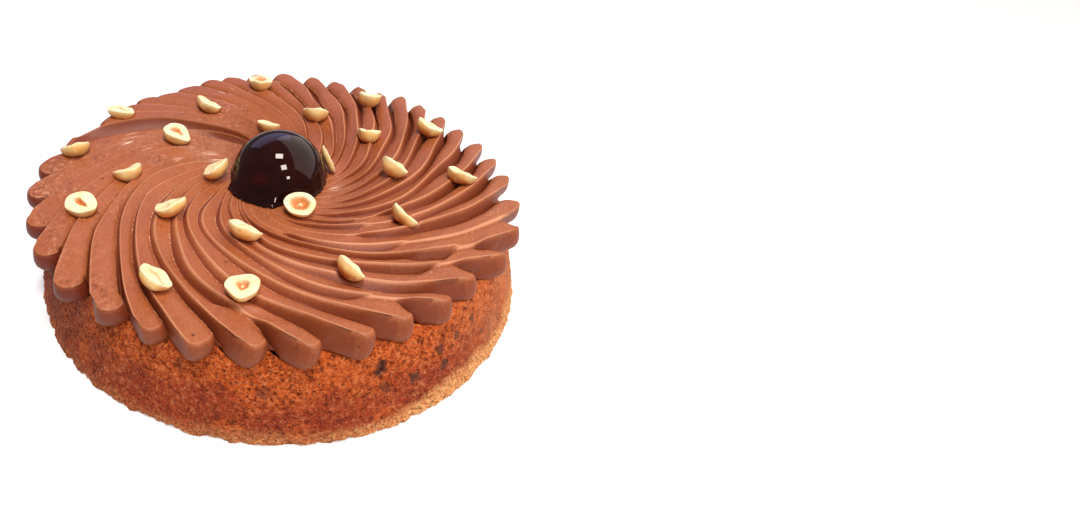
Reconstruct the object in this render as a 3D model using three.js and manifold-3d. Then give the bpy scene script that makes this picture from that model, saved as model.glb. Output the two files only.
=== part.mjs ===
import * as THREE from "three";
import { mergeVertices } from "three/addons/utils/BufferGeometryUtils.js";
import Module from "manifold-3d";

// Chocolate hazelnut financier: a tapered round sponge under a piped milk-chocolate swirl,
// with a glazed dome in the middle and hazelnut halves scattered over the swirl.
// Millimetres, +Z up, origin at the middle of the sponge's underside.

// Sponge: baked in a sloping tin and turned over, so it is wider at the foot.
const SPONGE_FOOT_RADIUS = 108;
const SPONGE_TOP_RADIUS = 96.5;
const SPONGE_HEIGHT = 30;
const SPONGE_SEGMENTS = 68;

// Piped cream: 39 flat-topped strands run from the dome to the rim.
const GAP = 0.3;
const CREAM_BOTTOM = SPONGE_HEIGHT + GAP;
const CREAM_TOP = 38.3;
const CREAM_LOW = 34.1;
const STRAND_START = 20;
const STRAND_COMMON = [20, 25, 31, 38, 46, 55, 65, 76];
const STRAND_LAST = [0.5, 1];
const ACROSS = [-1, -0.56, 0, 0.56, 1];

// Tip of each strand: its bearing in degrees and its distance from the middle, counterclockwise.
const TIPS = [
  [1.5, 100.5], [9.5, 100.5], [18, 101], [26, 99.5], [34, 99.5], [43, 100.5], [50.5, 102.5],
  [57.5, 98.5], [65.5, 98.5], [74, 98.5], [82, 100.5], [92, 102.5], [100.5, 101], [109, 101.5],
  [116, 102], [124, 101.5], [132, 101.5], [138.5, 103], [144.5, 102.5], [153, 102], [161, 101],
  [169, 105], [179.5, 105.5], [189.5, 105], [201, 104], [212, 104], [223.5, 103.5], [235, 100.5],
  [245, 100], [254.5, 100.5], [264.5, 99.5], [275, 99.5], [286, 98.5], [295.5, 96.5], [306, 97],
  [316, 96], [328, 99.5], [339.5, 100.5], [350.5, 100.5],
];
// The strand that was piped last lies over its neighbours.
const RIDGE_STRAND = 21;
const RIDGE_RISE = 1.8;

// Dome of glazed mousse with a pooled foot.
const DOME = { x: -0.6, y: 3, z: 33.7, radius: 21, bottom: CREAM_LOW + 0.6 };
const DOME_SEGMENTS = 36;

// Hazelnut halves, pressed a little into the strands: place of the middle, length, width,
// thickness, bearing of the point, and how far and which way the cut face leans.
const NUTS = [
  [-12, 84, 40.5, 13.5, 12.5, 6, 270, 10, 75],
  [46, 67.5, 41, 14, 12, 6.5, 280, 22, 70],
  [-38, 58.2, 39.5, 13.5, 11.5, 5.5, 333, 30, 35],
  [17.3, 53, 39, 12.5, 12.5, 6, 160, 32, 78],
  [-80.5, 49, 39, 14, 12, 5, 330, 15, 60],
  [70.5, 37.5, 41.5, 13.5, 11.5, 5.5, 305, 25, 25],
  [-6.5, 41, 38, 13.5, 11, 4.5, 300, 25, 65],
  [42, 35, 38, 12, 12.5, 6, 5, 28, 80],
  [-49.5, 27, 39.5, 14.5, 12, 6, 335, 20, 0],
  [-92, 11, 40, 13, 11.5, 5, 40, 35, 118],
  [-64.5, -5, 39, 14, 11.5, 5.5, 60, 30, 132],
  [-27.5, 0, 38.5, 12.5, 11, 5, 40, 35, 160],
  [20.8, 10.2, 39.5, 13.2, 9.2, 2.8, 318, 68, 13],
  [49, 3, 40.5, 12.5, 11.5, 6, 325, 35, 30],
  [77.5, -1.5, 40, 13.5, 11.5, 5.2, 328, 27, 45],
  [-77.5, -30, 39.5, 13.6, 11.5, 6, 322, 10, 270],
  [-42.5, -31, 40.5, 13, 12, 5, 20, 28, 140],
  [8.5, -23, 37.5, 13.5, 11.5, 5, 180, 18, 262],
  [-13.5, -43.5, 40.5, 13.5, 11.5, 5, 345, 35, 52],
  [48, -31, 40, 13.5, 11, 4.5, 310, 45, 25],
  [-41.5, -71.5, 41, 13.5, 10.5, 5, 132, 35, 38],
  [-11.5, -74.5, 41, 13.5, 12, 5, 268, 10, 85],
  [24.5, -63.4, 41, 12.5, 9.8, 5.2, 302, 46, 32],
];
const NUT_SEGMENTS = 10;

const rad = (degrees) => (degrees * Math.PI) / 180;
const mix = (a, b, t) => a + (b - a) * t;
const clamp = (x, low, high) => Math.min(high, Math.max(low, x));
const smooth = (low, high, x) => {
  const t = clamp((x - low) / (high - low), 0, 1);
  return t * t * (3 - 2 * t);
};
// Repeatable unevenness between -1 and 1 from two numbers.
const uneven = (i, j) => {
  const s = Math.sin(i * 12.9898 + j * 78.233) * 43758.5453;
  return 2 * (s - Math.floor(s)) - 1;
};

const wasm = await Module();
wasm.setup();

function solidOf(geometry) {
  const merged = mergeVertices(geometry.deleteAttribute("normal"));
  return new wasm.Manifold(new wasm.Mesh({
    numProp: 3,
    vertProperties: new Float32Array(merged.attributes.position.array),
    triVerts: new Uint32Array(merged.index.array),
  }));
}

function geometryOf(solid) {
  const { vertProperties, triVerts } = solid.getMesh();
  const geometry = new THREE.BufferGeometry();
  geometry.setAttribute("position", new THREE.Float32BufferAttribute(vertProperties, 3));
  geometry.setIndex(Array.from(triVerts));
  geometry.computeVertexNormals();
  return geometry;
}

// Closed surface over a stack of rings of equal length, with a point at each end.
function closedRings(rings, first, last) {
  const n = rings[0].length;
  const points = [first, ...rings.flat(), last];
  const index = [];
  const at = (i, j) => 1 + i * n + (j % n);
  for (let j = 0; j < n; j += 1) {
    index.push(0, at(0, j), at(0, j + 1));
    index.push(points.length - 1, at(rings.length - 1, j + 1), at(rings.length - 1, j));
  }
  for (let i = 0; i + 1 < rings.length; i += 1) {
    for (let j = 0; j < n; j += 1) {
      const [a, b, c, d] = [at(i, j), at(i, j + 1), at(i + 1, j), at(i + 1, j + 1)];
      index.push(a, c, b, b, c, d);
    }
  }
  let volume = 0;
  for (let t = 0; t < index.length; t += 3) {
    const [p, q, r] = [points[index[t]], points[index[t + 1]], points[index[t + 2]]];
    volume += p[0] * (q[1] * r[2] - q[2] * r[1]);
    volume += p[1] * (q[2] * r[0] - q[0] * r[2]);
    volume += p[2] * (q[0] * r[1] - q[1] * r[0]);
  }
  if (volume < 0) {
    for (let t = 0; t < index.length; t += 3) {
      [index[t + 1], index[t + 2]] = [index[t + 2], index[t + 1]];
    }
  }
  const geometry = new THREE.BufferGeometry();
  geometry.setAttribute("position", new THREE.Float32BufferAttribute(points.flat(), 3));
  geometry.setIndex(index);
  geometry.computeVertexNormals();
  return geometry;
}

function mesh(name, geometry, color, roughness, metalness = 0) {
  const material = new THREE.MeshStandardMaterial({ color, roughness, metalness });
  material.name = name;
  const piece = new THREE.Mesh(geometry, material);
  piece.name = name;
  return piece;
}

// Sponge: a lathe profile with a worn upper edge, and shallow dents where the crumb is open.
function sponge() {
  const profile = [
    [0.9, 0], [1.0, 1.2], [0.995, 6], [0.985, 12], [0.975, 18], [0.966, 23], [1, SPONGE_HEIGHT - 2],
    [0.985, SPONGE_HEIGHT],
  ];
  const rings = profile.map(([share, z], i) => {
    const ring = [];
    for (let j = 0; j < SPONGE_SEGMENTS; j += 1) {
      const a = (2 * Math.PI * j) / SPONGE_SEGMENTS;
      const slope = mix(SPONGE_FOOT_RADIUS, SPONGE_TOP_RADIUS, z / SPONGE_HEIGHT);
      let r = slope;
      if (i === 0) r = SPONGE_FOOT_RADIUS - 1.6 + 0.5 * uneven(j, 3);
      if (i === 1) r = SPONGE_FOOT_RADIUS - 0.2 + 0.45 * uneven(j, 5);
      if (i > 1 && i < 7) r = slope + 0.35 * uneven(j, 7 + i) + 0.5 * Math.sin(3 * a + 1) - 0.3;
      if (i === 7) r = SPONGE_TOP_RADIUS - 1.6;
      ring.push([r * Math.cos(a), r * Math.sin(a), z]);
    }
    return ring;
  });
  const geometry = closedRings(rings, [0, 0, 0], [0, 0, SPONGE_HEIGHT]);
  return mesh("financier_sponge", geometry, 0xb0602a, 0.9);
}

// Slant of the strands from the outward direction, in degrees, counterclockwise. They lie flatter
// round the front and left than at the back.
function slant(r, a) {
  const s = (r - 59) / 38;
  const turn = 49 + 5 * s - 9 * s * s - 3 * Math.cos(a) - 12 * Math.sin(a) + 3 * Math.cos(2 * a);
  return rad(turn);
}

const TRACE_FIRST = 14;
const TRACE_COUNT = 104;

// Bearing of one strand's middle line at each whole millimetre of radius, from its tip inwards
// and a little outwards, with a slow sideways wander that dies out at the tip.
function middleLine(k) {
  const [bearing, reach] = TIPS[k];
  const start = Math.round(reach - 5);
  const line = new Array(TRACE_COUNT);
  const step = (r, a, dr) => {
    const half = a + (Math.tan(slant(r, a)) / r) * (dr / 2);
    const mid = r + dr / 2;
    return a + (Math.tan(slant(mid, half)) / mid) * dr;
  };
  line[start - TRACE_FIRST] = rad(bearing);
  for (let r = start; r > TRACE_FIRST; r -= 1) {
    line[r - 1 - TRACE_FIRST] = step(r, line[r - TRACE_FIRST], -1);
  }
  for (let r = start; r < TRACE_FIRST + TRACE_COUNT - 1; r += 1) {
    line[r + 1 - TRACE_FIRST] = step(r, line[r - TRACE_FIRST], 1);
  }
  return line.map((a, i) => {
    const r = i + TRACE_FIRST;
    const away = smooth(0, 30, start - r);
    const wander = Math.sin(r / (7 + 2 * uneven(k, 1)) + 6 * uneven(k, 2));
    return a + away * 0.012 * wander;
  });
}

// Height of the strands' tops: thin by the dome, full from half way out, and sooner at the front.
function creamLevel(r, a) {
  return mix(CREAM_LOW, CREAM_TOP, smooth(26 + 4 * Math.sin(a), 68 + 12 * Math.sin(a), r));
}

function swirl() {
  const count = TIPS.length;
  const middles = TIPS.map((_, k) => middleLine(k));
  const along = (line, r) => {
    const x = clamp(r - TRACE_FIRST, 0, TRACE_COUNT - 1.001);
    const i = Math.floor(x);
    return mix(line[i], line[i + 1], x - i);
  };
  // Groove between strand k - 1 and strand k.
  const groove = (k, r) => {
    const here = along(middles[k % count], r) + (k >= count ? 2 * Math.PI : 0);
    const before = along(middles[(k + count - 1) % count], r);
    const turn = k % count === 0 ? 2 * Math.PI : 0;
    return (here + before + (k >= count ? 2 * Math.PI : 0) - turn) / 2;
  };
  const bearing = (k, v, r) => {
    const a = groove(k, r);
    const b = k + 1 < count ? groove(k + 1, r) : groove(0, r) + 2 * Math.PI;
    return mix(a, b, (v + 1) / 2);
  };
  const at = (k, v, r, z) => {
    const a = bearing(k, v, r);
    return [r * Math.cos(a), r * Math.sin(a), z];
  };
  // Share of a strand's pitch taken by its flat top.
  const topShare = (r) => mix(0.86, 0.68, smooth(30, 90, r));
  const strandTop = (k, r) => {
    const own = 0.35 * uneven(k, 11) + 0.3 * Math.sin(r / 9 + 5 * uneven(k, 12));
    const rise = k === RIDGE_STRAND ? RIDGE_RISE * smooth(45, 75, r) : 0;
    const level = creamLevel(r, along(middles[k], r));
    return level + own * smooth(27, 42, r) + rise - 0.6 * smooth(88, 102, r);
  };
  const grooveDepth = (k, r) => {
    const share = clamp((r - STRAND_START) / 66, 0, 1.1);
    const deep = k === RIDGE_STRAND + 1 ? 0.35 * smooth(40, 60, r) : 0;
    return (0.8 + 6 * share ** 1.5) * (1 + deep + 0.25 * uneven(k, 13) * smooth(25, 45, r));
  };
  const grooveFloor = (k, r) => {
    const level = creamLevel(r, groove(k, r)) - grooveDepth(k, r);
    return Math.max(CREAM_BOTTOM + 0.5, level);
  };

  // Shape of each strand's rounded end, in a frame along and across the strand.
  const ends = TIPS.map(([degrees, reach], k) => {
    const r = reach - 5;
    const a = rad(degrees);
    const turn = a + slant(r, a);
    const width = (bearing(k, 1, r) - bearing(k, -1, r)) * r * Math.cos(slant(r, a));
    const half = clamp((width / 2) * topShare(r), 2.6, 5.2);
    return { r, a, turn, half, reach: 5 };
  });
  const endPoint = (k, x, y, z) => {
    const e = ends[k];
    return [
      e.r * Math.cos(e.a) + y * Math.cos(e.turn) - x * Math.sin(e.turn),
      e.r * Math.sin(e.a) + y * Math.sin(e.turn) + x * Math.cos(e.turn),
      z,
    ];
  };
  // The notch in front of strand k, where the strand before it stops.
  const notch = (k) => {
    const e = ends[(k + count - 1) % count];
    const lean = Math.sin(e.turn - e.a);
    return Math.min(e.r - e.half * lean + 0.6, ends[k].r - 1);
  };
  const joinRadius = (k, u) => {
    const e = ends[k];
    return e.r - u * e.half * Math.sin(e.turn - e.a) - 1.5;
  };

  const rows = STRAND_COMMON.length + STRAND_LAST.length;
  const rings = [];
  const pad = [];
  for (let k = 0; k < count; k += 1) {
    for (let c = 0; c < 1 + ACROSS.length; c += 1) {
      pad.push(at(k, c === 0 ? -1 : ACROSS[c - 1] * 0.86, 16.5, CREAM_LOW - 0.4));
    }
  }
  rings.push(pad);
  for (let i = 0; i < rows; i += 1) {
    const ring = [];
    for (let k = 0; k < count; k += 1) {
      const own = (last) => {
        if (i < STRAND_COMMON.length) return STRAND_COMMON[i];
        const from = STRAND_COMMON[STRAND_COMMON.length - 1];
        return mix(from, last, STRAND_LAST[i - STRAND_COMMON.length]);
      };
      const rv = own(notch(k) - 0.8);
      ring.push(at(k, -1, rv, grooveFloor(k, rv)));
      ACROSS.forEach((u) => {
        const r = own(joinRadius(k, u));
        const lip = u < -0.9 ? 0.3 : 0;
        const far = u > 0.9 ? -0.3 : 0;
        const z = strandTop(k, r) + (lip + far) * smooth(24, 32, r);
        ring.push(at(k, u * topShare(r), r, z));
      });
    }
    rings.push(ring);
  }
  // Edge of the top, widest part of the wall and foot of the wall round every strand's end.
  const walls = [
    { grow: -0.2, back: -0.9, z: (k) => strandTop(k, 98) - 0.1, v: -0.3 },
    { grow: 0.9, back: 0.6, z: () => mix(CREAM_BOTTOM, CREAM_TOP, 0.4), v: 0.1 },
    { grow: -0.3, back: -1.3, z: () => CREAM_BOTTOM, v: 0 },
  ];
  walls.forEach((wall, w) => {
    const ring = [];
    for (let k = 0; k < count; k += 1) {
      const z = w === 0 ? CREAM_BOTTOM + 0.45 : mix(CREAM_BOTTOM, CREAM_BOTTOM + 0.3, w === 1 ? 1 : 0);
      ring.push(at(k, -1, notch(k) + wall.v, z));
      const e = ends[k];
      ACROSS.forEach((u) => {
        const round = (1 - Math.abs(u) ** 2.3) ** (1 / 2.3);
        const x = u * (e.half + wall.grow);
        const y = round * e.reach * 0.98 + wall.back;
        ring.push(endPoint(k, x, y, wall.z(k)));
      });
    }
    rings.push(ring);
  });
  const under = (radius) => {
    const ring = [];
    for (let k = 0; k < count; k += 1) {
      ring.push(at(k, -1, radius, CREAM_BOTTOM));
      ACROSS.forEach((u) => ring.push(at(k, u * topShare(radius), radius, CREAM_BOTTOM)));
    }
    return ring;
  };
  rings.push(under(72));
  rings.push(under(20));
  const whole = closedRings(rings, [0, 0, CREAM_LOW - 0.4], [0, 0, CREAM_BOTTOM]);
  const pressed = NUTS.reduce(
    (cream, nut) => cream.subtract(solidOf(nutGeometry(nut, GAP + 0.05))),
    solidOf(whole),
  );
  return mesh("chocolate_swirl", geometryOf(pressed), 0x8a4a2e, 0.42);
}

// How far the glaze has run out at the foot of the dome, by bearing in degrees.
function footReach(degrees) {
  const spread = smooth(196, 208, degrees) * (1 - smooth(262, 277, degrees));
  return 21.3 + 3 * spread + 0.2 * Math.sin(rad(7 * degrees));
}

function dome() {
  const rings = [];
  const ring = (radius, z) => {
    const points = [];
    for (let j = 0; j < DOME_SEGMENTS; j += 1) {
      const a = (2 * Math.PI * j) / DOME_SEGMENTS;
      const r = radius((360 * j) / DOME_SEGMENTS);
      points.push([DOME.x + r * Math.cos(a), DOME.y + r * Math.sin(a), z]);
    }
    rings.push(points);
  };
  [10, 21, 33, 45, 57, 69, 80].forEach((phi) => {
    ring(() => DOME.radius * Math.sin(rad(phi)), DOME.z + DOME.radius * Math.cos(rad(phi)));
  });
  ring((degrees) => mix(DOME.radius, footReach(degrees), 0.5), DOME.bottom + 1.1);
  ring((degrees) => footReach(degrees) - 0.15, DOME.bottom + 0.45);
  ring((degrees) => footReach(degrees) - 0.3, DOME.bottom);
  const top = [DOME.x, DOME.y, DOME.z + DOME.radius];
  const geometry = closedRings(rings, top, [DOME.x, DOME.y, DOME.bottom]);
  return mesh("glazed_dome", geometry, 0x1f0f0c, 0.08);
}

// Half a hazelnut: a rounded back, a flat cut face with a hollow in the middle, and a blunt point.
function nutGeometry([x, y, z, length, width, thickness, point, tilt, lean], grow = 0) {
  const halfLength = length / 2 + grow;
  const halfWidth = width / 2 + grow;
  const depth = thickness + 2 * grow;
  const layers = [[0.55, -0.88], [0.86, -0.5], [1, -0.1], [0.93, 0.02], [0.5, -0.08]];
  const axis = new THREE.Vector3(-Math.sin(rad(lean)), Math.cos(rad(lean)), 0);
  const spin = new THREE.Quaternion().setFromAxisAngle(new THREE.Vector3(0, 0, 1), rad(point));
  const lay = new THREE.Quaternion().setFromAxisAngle(axis, rad(tilt));
  const place = (px, py, pz) => {
    const v = new THREE.Vector3(px, py, (pz + 0.4) * depth);
    v.applyQuaternion(spin).applyQuaternion(lay);
    return [v.x + x, v.y + y, v.z + z];
  };
  const rings = layers.map(([share, height]) => {
    const ring = [];
    for (let j = 0; j < NUT_SEGMENTS; j += 1) {
      const a = (2 * Math.PI * j) / NUT_SEGMENTS;
      const front = Math.max(0, Math.cos(a));
      const back = Math.max(0, -Math.cos(a));
      const px = share * halfLength * Math.cos(a) * (0.95 + 0.1 * front ** 6 - 0.03 * back);
      const py = share * halfWidth * Math.sin(a) * (1 - 0.1 * Math.cos(a));
      ring.push(place(px, py, height));
    }
    return ring;
  });
  return closedRings(rings, place(0, 0, -1), place(0, 0, grow > 0 ? 0 : -0.3));
}

function nut(row, k) {
  return mesh(`hazelnut_${String(k + 1).padStart(2, "0")}`, nutGeometry(row), 0xf0d79c, 0.55);
}

const financier = new THREE.Group();
financier.name = "chocolate_hazelnut_financier";
financier.add(sponge());
financier.add(swirl());
financier.add(dome());
NUTS.forEach((row, k) => financier.add(nut(row, k)));

export default financier;
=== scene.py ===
"""Chocolate hazelnut financier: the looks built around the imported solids.

Lengths are worked out in millimetres and turned into metres when a mesh is made. Bearings run
counterclockwise from +X. Noise is worked out from fixed formulas, so every run is the same.

In the formulas a is a bearing in radians, r a distance from the middle, z a height, k the number
of a strand or of the groove before it, and u a place counted in strands round the cake.
"""

import math
from itertools import product

import bpy
import numpy as np
from mathutils import Matrix, Vector


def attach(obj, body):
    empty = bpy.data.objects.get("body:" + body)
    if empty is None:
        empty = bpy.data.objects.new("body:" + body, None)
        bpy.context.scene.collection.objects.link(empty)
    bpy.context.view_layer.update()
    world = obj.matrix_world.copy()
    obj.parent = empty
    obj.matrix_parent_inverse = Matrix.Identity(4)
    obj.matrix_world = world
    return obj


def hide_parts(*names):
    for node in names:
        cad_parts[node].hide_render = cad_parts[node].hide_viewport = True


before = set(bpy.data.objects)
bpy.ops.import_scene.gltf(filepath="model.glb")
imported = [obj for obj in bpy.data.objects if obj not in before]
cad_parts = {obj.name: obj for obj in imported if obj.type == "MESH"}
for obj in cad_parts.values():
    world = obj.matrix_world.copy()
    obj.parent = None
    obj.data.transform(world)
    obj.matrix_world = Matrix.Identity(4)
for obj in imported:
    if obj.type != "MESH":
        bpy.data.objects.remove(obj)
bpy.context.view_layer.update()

MM = 0.001

# Sponge, baked in a sloping tin and turned over.
SPONGE_FOOT_RADIUS = 108.0
SPONGE_TOP_RADIUS = 96.5
SPONGE_HEIGHT = 30.0

# Piped cream.
CREAM_BOTTOM = 30.3
CREAM_TOP = 38.3
CREAM_LOW = 34.1
# Least thickness of the cream under a groove, and under the hollow pressed by a nut.
GROOVE_LEAST = 0.5
HOLLOW_LEAST = 0.6
STRAND_START = 20.0
RIDGE_STRAND = 21
RIDGE_RISE = 1.8

# Tip of each strand: its bearing in degrees and its distance from the middle.
TIPS = np.array([
    [1.5, 100.5], [9.5, 100.5], [18, 101], [26, 99.5], [34, 99.5], [43, 100.5], [50.5, 102.5],
    [57.5, 98.5], [65.5, 98.5], [74, 98.5], [82, 100.5], [92, 102.5], [100.5, 101], [109, 101.5],
    [116, 102], [124, 101.5], [132, 101.5], [138.5, 103], [144.5, 102.5], [153, 102], [161, 101],
    [169, 105], [179.5, 105.5], [189.5, 105], [201, 104], [212, 104], [223.5, 103.5], [235, 100.5],
    [245, 100], [254.5, 100.5], [264.5, 99.5], [275, 99.5], [286, 98.5], [295.5, 96.5], [306, 97],
    [316, 96], [328, 99.5], [339.5, 100.5], [350.5, 100.5],
])
STRANDS = len(TIPS)
# A strand's rounded end starts this far inside its tip.
END_BACK = 5.0

# Where a groove is closed and its two strands run together: groove, from and to this distance.
CLOSED_GROOVES = [
    (38, 65, 96), (37, 81.4, 85.6), (36, 80.3, 83.4), (34, 79.8, 84.6), (31, 82, 84.7),
    (1, 47.4, 53), (2, 42, 46), (38, 20, 38), (0, 28, 49),
    (16, 66, 99), (18, 60, 99), (19, 72, 99), (20, 64, 99),
]

# Dome of glazed mousse with a pooled foot.
DOME_X, DOME_Y, DOME_Z, DOME_RADIUS = -0.6, 3.0, 33.7, 21.0
DOME_BOTTOM = CREAM_LOW + 0.6
FLARE_TOP = DOME_Z + 11.0
DOME_COLUMNS = 480

# Hazelnut halves: place of the middle, length, width, thickness, bearing of the point, and how
# far and which way the cut face leans.
NUTS = np.array([
    [-12, 84, 40.5, 13.5, 12.5, 6, 270, 10, 75],
    [46, 67.5, 41, 14, 12, 6.5, 280, 22, 70],
    [-38, 58.2, 39.5, 13.5, 11.5, 5.5, 333, 30, 35],
    [17.3, 53, 39, 12.5, 12.5, 6, 160, 32, 78],
    [-80.5, 49, 39, 14, 12, 5, 330, 15, 60],
    [70.5, 37.5, 41.5, 13.5, 11.5, 5.5, 305, 25, 25],
    [-6.5, 41, 38, 13.5, 11, 4.5, 300, 25, 65],
    [42, 35, 38, 12, 12.5, 6, 5, 28, 80],
    [-49.5, 27, 39.5, 14.5, 12, 6, 335, 20, 0],
    [-92, 11, 40, 13, 11.5, 5, 40, 35, 118],
    [-64.5, -5, 39, 14, 11.5, 5.5, 60, 30, 132],
    [-27.5, 0, 38.5, 12.5, 11, 5, 40, 35, 160],
    [20.8, 10.2, 39.5, 13.2, 9.2, 2.8, 318, 68, 13],
    [49, 3, 40.5, 12.5, 11.5, 6, 325, 35, 30],
    [77.5, -1.5, 40, 13.5, 11.5, 5.2, 328, 27, 45],
    [-77.5, -30, 39.5, 13.6, 11.5, 6, 322, 10, 270],
    [-42.5, -31, 40.5, 13, 12, 5, 20, 28, 140],
    [8.5, -23, 37.5, 13.5, 11.5, 5, 180, 18, 262],
    [-13.5, -43.5, 40.5, 13.5, 11.5, 5, 345, 35, 52],
    [48, -31, 40, 13.5, 11, 4.5, 310, 45, 25],
    [-41.5, -71.5, 41, 13.5, 10.5, 5, 132, 35, 38],
    [-11.5, -74.5, 41, 13.5, 12, 5, 268, 10, 85],
    [24.5, -63.4, 41, 12.5, 9.8, 5.2, 302, 46, 32],
])


# Numbers and patterns

def mix(a, b, t):
    """Straight blend from a to b as t goes from 0 to 1."""
    return a + (b - a) * t


def smooth(low, high, x):
    """Soft step: t*t*(3 - 2t), with t the clipped share of the way from low to high."""
    t = np.clip((x - low) / (high - low), 0, 1)
    return t * t * (3 - 2 * t)


def window(x, rise_from, rise_to, fall_from, fall_to):
    """1 between the two slopes and 0 outside them: one soft step up, less one down."""
    return smooth(rise_from, rise_to, x) * (1 - smooth(fall_from, fall_to, x))


def uneven(i, j):
    """Repeatable number between -1 and 1: twice the fraction of a large sine, less one."""
    s = np.sin(np.asarray(i) * 12.9898 + j * 78.233) * 43758.5453
    return 2 * (s - np.floor(s)) - 1


def lattice(cells, seed):
    """Repeatable number from 0 to 1 for each cell of a cubic lattice: the fraction of a large sine."""
    s = np.sin(cells[..., 0] * 127.1 + cells[..., 1] * 311.7 + cells[..., 2] * 74.7 + seed * 53.3)
    s = s * 43758.5453
    return s - np.floor(s)


def lumps(points, cell, seed):
    """Value noise from -1 to 1: lattice values at the eight corners of a cell, blended softly."""
    q = points / cell
    base = np.floor(q)
    f = smooth(0, 1, q - base)
    total = 0
    for corner in product((0, 1), repeat=3):
        x, y, z = (f[..., axis] if far else 1 - f[..., axis] for axis, far in enumerate(corner))
        total = total + x * y * z * lattice(base + corner, seed)
    return 2 * total - 1


def pores(points, cell, seed):
    """Distance to the nearest of one random point per lattice cell, as a share of the cell."""
    q = points / cell
    base = np.floor(q)
    best = np.inf
    for shift in product((-1, 0, 1), repeat=3):
        cells = base + shift
        spot = np.stack([lattice(cells, seed + axis) for axis in (1, 2, 3)], -1)
        best = np.minimum(best, np.linalg.norm(cells + spot - q, axis=-1))
    return best


# Meshes

def piece_from(name, points, faces, material, uv=None, smooth_faces=True):
    """A mesh object at the origin from points in millimetres and a face array."""
    mesh = bpy.data.meshes.new(name)
    mesh.from_pydata((points * MM).tolist(), [], faces)
    mesh.polygons.foreach_set("use_smooth", [smooth_faces] * len(mesh.polygons))
    if uv is not None:
        layer = mesh.uv_layers.new(name="strand")
        layer.data.foreach_set("uv", uv.astype(np.float32).ravel())
    mesh.update()
    piece = bpy.data.objects.new(name, mesh)
    bpy.context.scene.collection.objects.link(piece)
    piece.data.materials.append(material)
    return piece


def ring_faces(rows, columns):
    """Quads between closed rings of equal length, and triangles to a pole before and after them.

    Point 0 is the first pole, ring i starts at 1 + i*columns, and the last point is the other
    pole. The order makes faces point outwards where rings run counterclockwise and go down.
    """
    i, j = np.meshgrid(np.arange(rows - 1), np.arange(columns), indexing="ij")
    near = 1 + i * columns + j
    far = 1 + i * columns + (j + 1) % columns
    quads = np.stack([near, near + columns, far + columns, far], -1).reshape(-1, 4)
    k = np.arange(columns)
    last = 1 + rows * columns
    first_fan = np.stack([np.zeros_like(k), 1 + k, 1 + (k + 1) % columns], -1)
    foot = 1 + (rows - 1) * columns
    last_fan = np.stack([np.full_like(k, last), foot + (k + 1) % columns, foot + k], -1)
    return quads, first_fan, last_fan


def ringed(name, rings, first, last, material, uv=None):
    """Closed piece over an array of rings (rows, columns, 3) with a pole at each end.

    With uv, an array (rows, columns + 1, 2), each corner of a quad takes the value of its own
    ring and column, and the extra column closes the seam.
    """
    rows, columns = rings.shape[:2]
    points = np.concatenate([[first], rings.reshape(-1, 3), [last]])
    faces = [face for part in ring_faces(rows, columns) for face in part.tolist()]
    corners = None
    if uv is not None:
        near, far = uv[:, :-1], uv[:, 1:]
        quads_uv = np.stack([near[:-1], near[1:], far[1:], far[:-1]], 2)
        first_uv = np.stack([near[0], near[0], far[0]], 1)
        last_uv = np.stack([near[-1], far[-1], near[-1]], 1)
        corners = np.concatenate([part.reshape(-1, 2) for part in (quads_uv, first_uv, last_uv)])
    return piece_from(name, points, faces, material, corners)


def store(piece, name, values, first=0, last=0):
    """Numbers for the piece's material to read: over its rings, and at its two poles."""
    numbers = np.concatenate([[first], np.ravel(values), [last]]).astype(np.float32)
    piece.data.attributes.new(name, "FLOAT", "POINT").data.foreach_set("value", numbers)


# Materials

def shade(red, green, blue):
    """Linear colour with full alpha from screen values 0 to 255."""
    c = np.array([red, green, blue]) / 255
    linear = np.where(c <= 0.04045, c / 12.92, ((c + 0.055) / 1.055) ** 2.4)
    return (*linear.tolist(), 1.0)


class Wire:
    """A socket of a material. Sums and products of wires and numbers add Math nodes."""

    def __init__(self, finish, socket):
        self.finish = finish
        self.socket = socket

    def _maths(self, operation, a, b):
        return self.finish.add("ShaderNodeMath", {"operation": operation}, {0: a, 1: b})

    def __add__(self, other):
        return self._maths("ADD", self, other)

    __radd__ = __add__

    def __mul__(self, other):
        return self._maths("MULTIPLY", self, other)

    def __sub__(self, other):
        return self._maths("SUBTRACT", self, other)

    def __rsub__(self, other):
        return self._maths("SUBTRACT", other, self)

    def step(self, low, high):
        """0 below low and 1 above high, softly between them; low may be above high."""
        return self.finish.add(
            "ShaderNodeMapRange", {"interpolation_type": "SMOOTHSTEP"},
            {"Value": self, "From Min": low, "From Max": high},
        )

    def blend(self, a, b):
        """Colour a where this is 0 and colour b where it is 1."""
        return self.finish.add("ShaderNodeMix", {"data_type": "RGBA"}, {0: self, 6: a, 7: b}, 2)


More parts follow.
